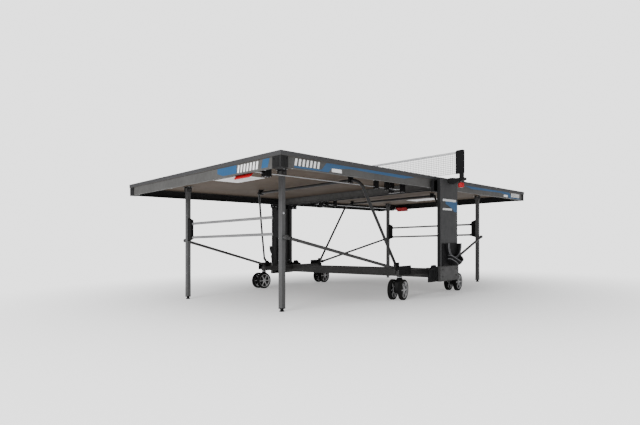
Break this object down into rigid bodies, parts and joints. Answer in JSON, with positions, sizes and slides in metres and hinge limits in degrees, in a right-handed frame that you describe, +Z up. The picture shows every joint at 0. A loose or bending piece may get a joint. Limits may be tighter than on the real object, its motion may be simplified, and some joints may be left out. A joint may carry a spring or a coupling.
{
  "type": "table tennis table",
  "caption": "Folding table tennis table: two halves on square legs that stand up on a wheeled centre frame, with net, ball cups and red release levers.",
  "frame": {"origin": "on the floor, under the middle of the net", "axes": "+X along the table's length, +Y along the net, +Z up"},
  "size_m": [2.74, 1.84, 0.9195],
  "materials": {
    "playing_board": "matt sealed laminate with dark edge band",
    "rail_grey": "satin powder coat",
    "charcoal": "satin powder coat",
    "zinc": "zinc plated",
    "rail_silver": "satin powder coat",
    "black_plastic": "moulded, fine grain",
    "red_plastic": "moulded, semi gloss",
    "wheel": "rubber tread on a spoked hub",
    "net_cloth": "knotted mesh with a white top band"
  },
  "bodies": {
    "centre_frame": {"cross_beam": "charcoal", "caster_arms": "charcoal", "caster_brackets": "charcoal", "column_front": "charcoal", "column_rear": "charcoal", "guide_rails": "charcoal", "column_bases": "charcoal", "base_bumpers": "black_plastic", "ball_holder_front": "black_plastic", "ball_holder_rear": "black_plastic", "frame_bolts": "black_plastic", "net_brackets": "black_plastic", "net_post_front": "black_plastic", "net_post_rear": "black_plastic", "net": "net_cloth"},
    "carriage_left": {"guide_blocks_left": "black_plastic"},
    "deck_left": {"board_left": "playing_board", "apron_rails_left": "rail_grey", "corner_caps_left": "black_plastic", "pivot_plates_left": "zinc", "leg_brackets_left": "charcoal", "strut_clamps_left": "black_plastic", "rod_guides_left": "black_plastic"},
    "leg_pair_left": {"legs_left": "charcoal", "leg_rails_left": "rail_silver", "leg_gussets_left": "black_plastic"},
    "front_foot_left": {"foot_front_left": "black_plastic"},
    "rear_foot_left": {"foot_rear_left": "black_plastic"},
    "ties_left": {"tie_rods_left": "charcoal"},
    "strut_left": {"strut_frame_left": "charcoal"},
    "handle_left": {"release_handle_left": "red_plastic"},
    "lock_left": {"lock_rod_left": "zinc"},
    "carriage_right": {"guide_blocks_right": "black_plastic"},
    "deck_right": {"board_right": "playing_board", "apron_rails_right": "rail_grey", "corner_caps_right": "black_plastic", "pivot_plates_right": "zinc", "leg_brackets_right": "charcoal", "strut_clamps_right": "black_plastic", "rod_guides_right": "black_plastic"},
    "leg_pair_right": {"legs_right": "charcoal", "leg_rails_right": "rail_silver", "leg_gussets_right": "black_plastic"},
    "front_foot_right": {"foot_front_right": "black_plastic"},
    "rear_foot_right": {"foot_rear_right": "black_plastic"},
    "ties_right": {"tie_rods_right": "charcoal"},
    "strut_right": {"strut_frame_right": "charcoal"},
    "handle_right": {"release_handle_right": "red_plastic"},
    "lock_right": {"lock_rod_right": "zinc"},
    "caster_a": {"fork_a": "black_plastic"},
    "caster_wheels_a": {"wheels_a": "wheel"},
    "caster_b": {"fork_b": "black_plastic"},
    "caster_wheels_b": {"wheels_b": "wheel"},
    "caster_c": {"fork_c": "black_plastic"},
    "caster_wheels_c": {"wheels_c": "wheel"},
    "caster_d": {"fork_d": "black_plastic"},
    "caster_wheels_d": {"wheels_d": "wheel"},
    "clamp_knob_front": {"knob_front": "red_plastic"},
    "clamp_knob_rear": {"knob_rear": "red_plastic"}
  },
  "joints": [
    {"name": "drop_left", "type": "slide", "parent": "centre_frame", "child": "carriage_left", "axis": [0, 0, -1], "range_m": [0, 0.474]},
    {"name": "fold_left", "type": "hinge", "parent": "carriage_left", "child": "deck_left", "pos_m": [-0.062, 0, 0.715], "axis": [0, 1, 0], "range_deg": [0, 90]},
    {"name": "leg_swing_left", "type": "hinge", "parent": "deck_left", "child": "leg_pair_left", "pos_m": [-1.107, 0, 0.72], "axis": [0, 1, 0], "range_deg": [-80.1, 0]},
    {"name": "tie_swing_left", "type": "hinge", "parent": "centre_frame", "child": "ties_left", "pos_m": [-0.3349, 0, 0.19], "axis": [0, 1, 0], "range_deg": [0, 92]},
    {"name": "strut_swing_left", "type": "hinge", "parent": "deck_left", "child": "strut_left", "pos_m": [-0.6153, 0, 0.716], "axis": [0, 1, 0], "range_deg": [-36.6, 0]},
    {"name": "front_foot_screw_left", "type": "slide", "parent": "leg_pair_left", "child": "front_foot_left", "axis": [0, 0, -1], "range_m": [0, 0.012]},
    {"name": "rear_foot_screw_left", "type": "slide", "parent": "leg_pair_left", "child": "rear_foot_left", "axis": [0, 0, -1], "range_m": [0, 0.012]},
    {"name": "handle_pull_left", "type": "hinge", "parent": "deck_left", "child": "handle_left", "pos_m": [-1.33, 0, 0.702], "axis": [0, -1, 0], "range_deg": [0, 25], "stiffness_Nm_per_rad": 0.6, "springref_deg": -11.46},
    {"name": "lock_slide_left", "type": "slide", "parent": "deck_left", "child": "lock_left", "axis": [-1, 0, 0], "range_m": [0, 0.0125]},
    {"name": "drop_right", "type": "slide", "parent": "centre_frame", "child": "carriage_right", "axis": [0, 0, -1], "range_m": [0, 0.474]},
    {"name": "fold_right", "type": "hinge", "parent": "carriage_right", "child": "deck_right", "pos_m": [0.062, 0, 0.715], "axis": [0, -1, 0], "range_deg": [0, 90]},
    {"name": "leg_swing_right", "type": "hinge", "parent": "deck_right", "child": "leg_pair_right", "pos_m": [1.107, 0, 0.72], "axis": [0, -1, 0], "range_deg": [-80.1, 0]},
    {"name": "tie_swing_right", "type": "hinge", "parent": "centre_frame", "child": "ties_right", "pos_m": [0.3349, 0, 0.19], "axis": [0, -1, 0], "range_deg": [0, 92]},
    {"name": "strut_swing_right", "type": "hinge", "parent": "deck_right", "child": "strut_right", "pos_m": [0.6153, 0, 0.716], "axis": [0, -1, 0], "range_deg": [-36.6, 0]},
    {"name": "front_foot_screw_right", "type": "slide", "parent": "leg_pair_right", "child": "front_foot_right", "axis": [0, 0, -1], "range_m": [0, 0.012]},
    {"name": "rear_foot_screw_right", "type": "slide", "parent": "leg_pair_right", "child": "rear_foot_right", "axis": [0, 0, -1], "range_m": [0, 0.012]},
    {"name": "handle_pull_right", "type": "hinge", "parent": "deck_right", "child": "handle_right", "pos_m": [1.33, 0, 0.702], "axis": [0, 1, 0], "range_deg": [0, 25], "stiffness_Nm_per_rad": 0.6, "springref_deg": -11.46},
    {"name": "lock_slide_right", "type": "slide", "parent": "deck_right", "child": "lock_right", "axis": [1, 0, 0], "range_m": [0, 0.0125]},
    {"name": "swivel_a", "type": "hinge", "parent": "centre_frame", "child": "caster_a", "pos_m": [-0.32, -0.655, 0.15], "axis": [0, 0, 1], "continuous": true},
    {"name": "roll_a", "type": "hinge", "parent": "caster_a", "child": "caster_wheels_a", "pos_m": [-0.34631, -0.66107, 0.0625], "axis": [-0.225, 0.9744, 0], "continuous": true},
    {"name": "swivel_b", "type": "hinge", "parent": "centre_frame", "child": "caster_b", "pos_m": [-0.32, 0.655, 0.15], "axis": [0, 0, 1], "continuous": true},
    {"name": "roll_b", "type": "hinge", "parent": "caster_b", "child": "caster_wheels_b", "pos_m": [-0.347, 0.655, 0.0625], "axis": [0, 1, 0], "continuous": true},
    {"name": "swivel_c", "type": "hinge", "parent": "centre_frame", "child": "caster_c", "pos_m": [0.32, -0.655, 0.15], "axis": [0, 0, 1], "continuous": true},
    {"name": "roll_c", "type": "hinge", "parent": "caster_c", "child": "caster_wheels_c", "pos_m": [0.34685, -0.65218, 0.0625], "axis": [0.1045, -0.9945, 0], "continuous": true},
    {"name": "swivel_d", "type": "hinge", "parent": "centre_frame", "child": "caster_d", "pos_m": [0.32, 0.655, 0.15], "axis": [0, 0, 1], "continuous": true},
    {"name": "roll_d", "type": "hinge", "parent": "caster_d", "child": "caster_wheels_d", "pos_m": [0.34693, 0.65688, 0.0625], "axis": [0.0698, -0.9976, 0], "continuous": true},
    {"name": "knob_turn_front", "type": "hinge", "parent": "centre_frame", "child": "clamp_knob_front", "pos_m": [0, -0.895, 0.7], "axis": [0, 0, 1], "continuous": true},
    {"name": "knob_turn_rear", "type": "hinge", "parent": "centre_frame", "child": "clamp_knob_rear", "pos_m": [0, 0.895, 0.7], "axis": [0, 0, 1], "continuous": true}
  ],
  "couplings": [
    {"joint": "drop_left", "follows": "fold_left", "m_per_rad": 0.3015},
    {"joint": "leg_swing_left", "follows": "fold_left", "ratio": -0.88889},
    {"joint": "tie_swing_left", "follows": "fold_left", "ratio": 1.0211},
    {"joint": "strut_swing_left", "follows": "fold_left", "ratio": -0.40602},
    {"joint": "lock_slide_left", "follows": "handle_pull_left", "m_per_rad": 0.0275},
    {"joint": "drop_right", "follows": "fold_right", "m_per_rad": 0.3015},
    {"joint": "leg_swing_right", "follows": "fold_right", "ratio": -0.88889},
    {"joint": "tie_swing_right", "follows": "fold_right", "ratio": 1.0211},
    {"joint": "strut_swing_right", "follows": "fold_right", "ratio": -0.40602},
    {"joint": "lock_slide_right", "follows": "handle_pull_right", "m_per_rad": 0.0275}
  ]
}
